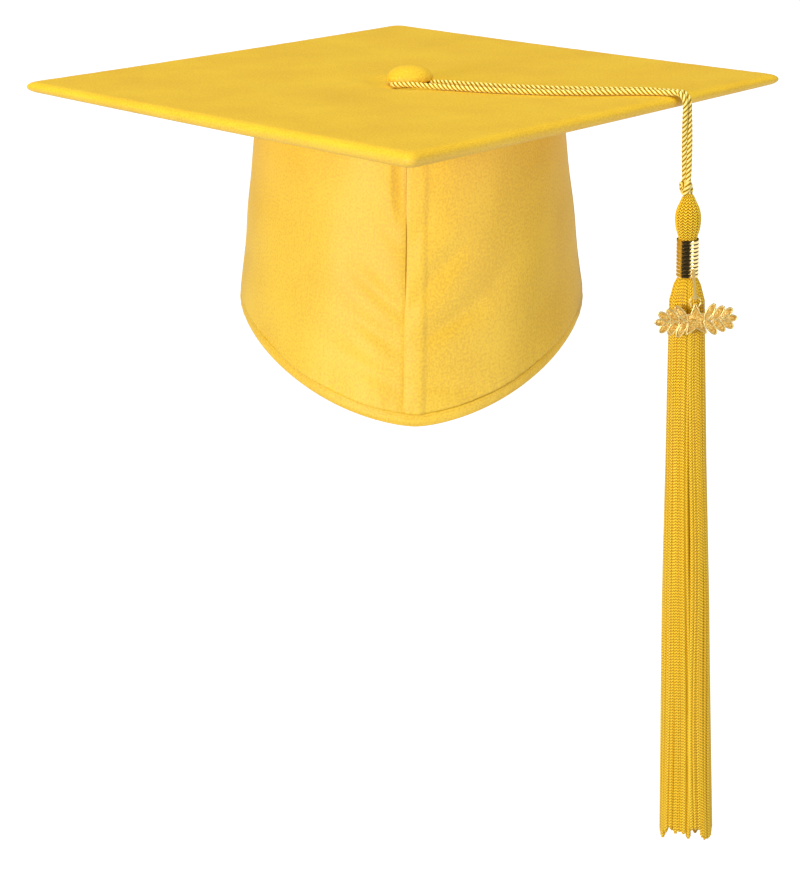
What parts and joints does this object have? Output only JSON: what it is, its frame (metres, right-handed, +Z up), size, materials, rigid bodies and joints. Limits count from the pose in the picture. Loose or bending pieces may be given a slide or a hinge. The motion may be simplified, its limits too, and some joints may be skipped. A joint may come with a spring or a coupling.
{
  "type": "graduation cap",
  "caption": "Square covered board on a flared skullcap with a pointed front, a covered button, a corded tassel with a ribbed band, and a small hanging ornament.",
  "frame": {"origin": "centre of the crown lining's underside, where the cap rests on the head", "axes": "+Z up, the wearer faces -Y, +X to the wearer's left, over which the tassel hangs"},
  "size_m": [0.338, 0.338, 0.3513],
  "materials": {
    "satin_fabric": "matte satin-weave polyester, golden yellow",
    "lining_fabric": "thin plain-weave lining, golden yellow",
    "cord_yarn": "lustrous rayon cord, three plies twisted",
    "tassel_yarn": "lustrous rayon chainette, antique gold yellow",
    "gold_plate": "polished gold plating on a ribbed band",
    "charm_gilt": "gilt casting with bright edges and a glitter inlay",
    "steel_fittings": "plain plated steel",
    "board_card": "grey-brown stiff board",
    "wadding": "thin white bonded wadding",
    "elastic_webbing": "white knitted elastic",
    "label_tape": "blank white woven tape"
  },
  "bodies": {
    "cap": {"board_core": "board_card", "board_padding": "wadding", "board_top_cover": "satin_fabric", "board_bottom_cover": "satin_fabric", "button_cover": "satin_fabric", "button_shell": "steel_fittings", "button_back_plate": "steel_fittings", "button_pin": "steel_fittings", "pin_washer": "steel_fittings", "crown_panel": "satin_fabric", "crown_lining": "lining_fabric", "side_panel_left": "satin_fabric", "side_panel_right": "satin_fabric", "side_lining_left": "lining_fabric", "side_lining_right": "lining_fabric", "front_seam_allowance": "satin_fabric", "back_seam_allowance": "satin_fabric", "hem_band": "satin_fabric", "elastic_casing": "satin_fabric", "elastic_band": "elastic_webbing", "size_label": "label_tape"},
    "cord_run": {"cord_loop": "cord_yarn", "cord_run_front": "cord_yarn", "cord_run_back": "cord_yarn"},
    "cord_drop": {"cord_drop_front": "cord_yarn", "cord_drop_back": "cord_yarn"},
    "knot": {"cord_knot": "cord_yarn"},
    "tassel": {"tassel_head": "tassel_yarn", "head_core": "tassel_yarn", "tassel_band": "gold_plate", "band_hook": "gold_plate", "strand_bundle_01": "tassel_yarn", "strand_bundle_02": "tassel_yarn", "strand_bundle_03": "tassel_yarn", "strand_bundle_04": "tassel_yarn", "strand_bundle_05": "tassel_yarn", "strand_bundle_06": "tassel_yarn", "strand_bundle_07": "tassel_yarn", "strand_bundle_08": "tassel_yarn", "strand_bundle_09": "tassel_yarn", "strand_bundle_10": "tassel_yarn", "strand_bundle_11": "tassel_yarn", "strand_bundle_12": "tassel_yarn"},
    "charm": {"charm": "charm_gilt"}
  },
  "joints": [
    {"name": "cord_turn", "type": "hinge", "parent": "cap", "child": "cord_run", "pos_m": [0, 0, 0.0046], "axis": [0, 0, 1], "range_deg": [-43, 0]},
    {"name": "drop_swing", "type": "hinge", "parent": "cord_run", "child": "cord_drop", "pos_m": [0.121, -0.0516, 0.0029], "axis": [-0.7071, -0.7071, 0], "range_deg": [-4, 70]},
    {"name": "tassel_sway", "type": "hinge", "parent": "cord_drop", "child": "knot", "pos_m": [0.121, -0.0516, -0.03225], "axis": [0.7071, -0.7071, 0], "range_deg": [-35, 35]},
    {"name": "tassel_spin", "type": "hinge", "parent": "knot", "child": "tassel", "pos_m": [0.121, -0.0516, -0.0356], "axis": [0, 0, 1], "range_deg": [-180, 180]},
    {"name": "charm_swing", "type": "hinge", "parent": "tassel", "child": "charm", "pos_m": [0.1234, -0.0628, -0.0785], "axis": [-1, 0, 0], "range_deg": [0, 80]}
  ]
}
